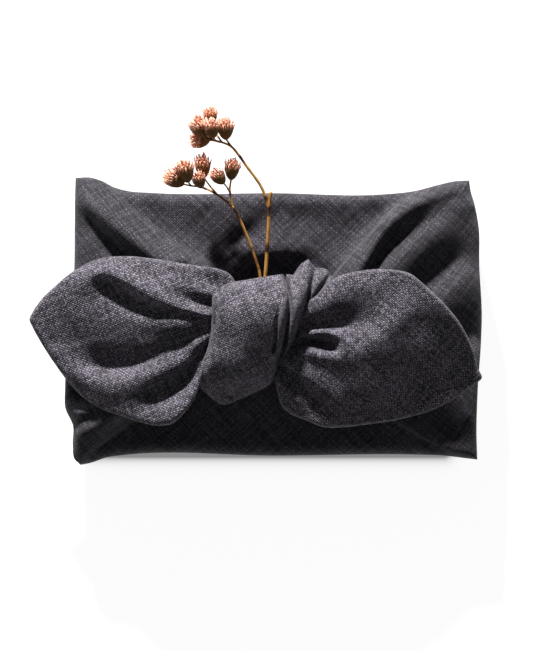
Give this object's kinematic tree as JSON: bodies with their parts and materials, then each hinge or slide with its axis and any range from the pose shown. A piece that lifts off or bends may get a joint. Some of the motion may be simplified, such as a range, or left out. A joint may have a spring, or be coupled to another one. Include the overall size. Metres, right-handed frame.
{
  "type": "furoshiki wrap",
  "caption": "Square linen cloth tied round a flat packet with a front knot and two spread tails, a small dried flower sprig tucked behind the knot.",
  "frame": {"origin": "middle of the flat underside that the packet rests on", "axes": "+X along the packet towards the right tail, +Y across it towards the sprig's heads, +Z out of the knotted face, away from the underside"},
  "size_m": [0.1998, 0.1561, 0.0722],
  "materials": {
    "linen": "slubbed weave",
    "dry_stem": "dried stalk",
    "dry_petals": "dried scales"
  },
  "bodies": {
    "root": {"wrap": "linen", "stem_right": "dry_stem", "stem_left": "dry_stem", "flower_head_1": "dry_petals", "flower_head_2": "dry_petals", "flower_head_3": "dry_petals", "flower_head_4": "dry_petals", "flower_head_5": "dry_petals", "flower_head_6": "dry_petals", "flower_head_7": "dry_petals", "flower_head_8": "dry_petals", "flower_head_9": "dry_petals", "flower_head_10": "dry_petals", "flower_head_11": "dry_petals"}
  },
  "joints": []
}
